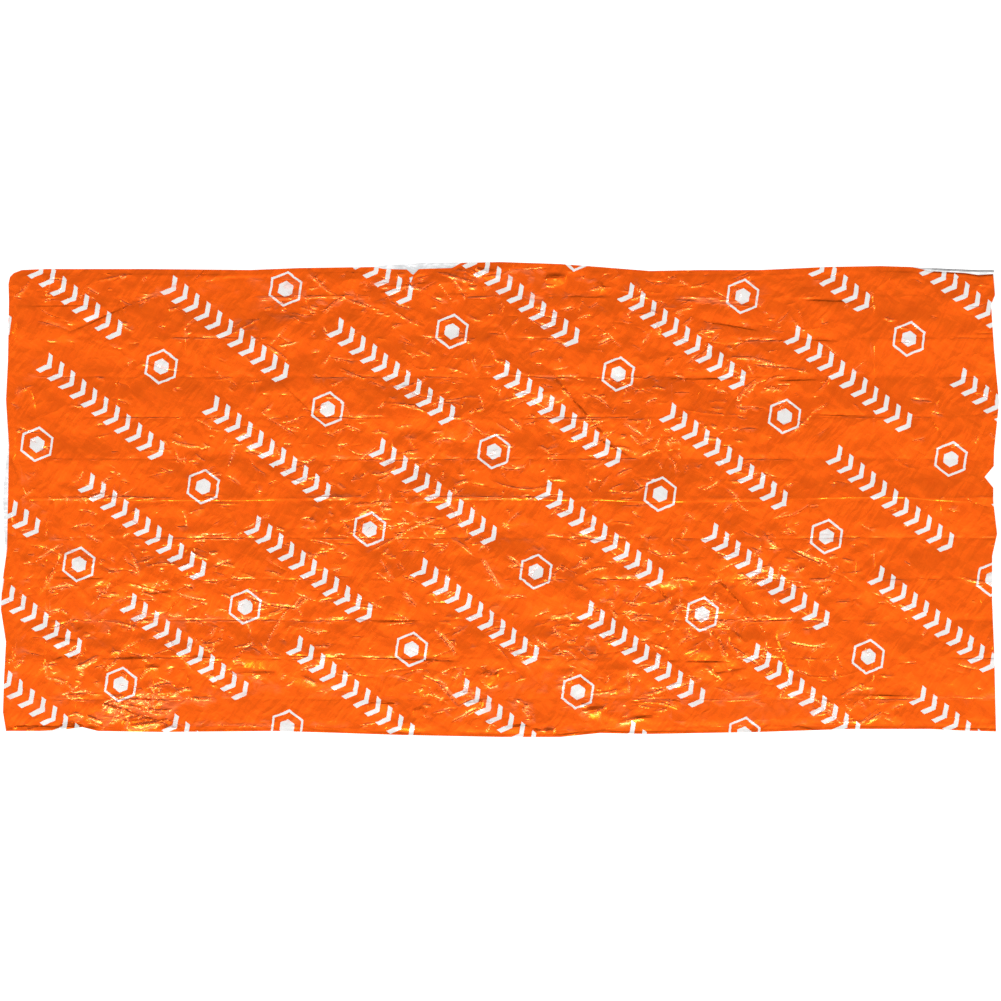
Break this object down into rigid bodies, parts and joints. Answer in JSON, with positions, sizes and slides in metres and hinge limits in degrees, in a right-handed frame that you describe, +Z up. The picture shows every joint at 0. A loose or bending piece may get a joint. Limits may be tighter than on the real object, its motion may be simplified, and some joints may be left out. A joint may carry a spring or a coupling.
{
  "type": "bivy sack",
  "caption": "Emergency bivy sack of orange metallised film with a bright foil lining, laid flat, sealed along both sides and the foot and open at the mouth.",
  "frame": {"origin": "on the ground, under the middle of the sack as it lies flat", "axes": "+X from the foot to the open mouth, +Y to the rear side, +Z up from the ground"},
  "size_m": [2.1, 0.985, 0.0162],
  "materials": {
    "orange_film": "metallised polyester film under transparent orange lacquer, glossy and crumpled, printed with white chevrons and hexagons",
    "foil_lining": "vapour-coated aluminium on film, mirror bright and crumpled",
    "seal_weld": "heat-fused film, milky where it melted"
  },
  "bodies": {
    "root": {"upper_outer_film": "orange_film", "upper_foil_lining": "foil_lining", "lower_outer_film": "orange_film", "lower_foil_lining": "foil_lining", "rear_side_seal": "seal_weld", "front_side_seal": "seal_weld", "foot_seal": "seal_weld"}
  },
  "joints": []
}
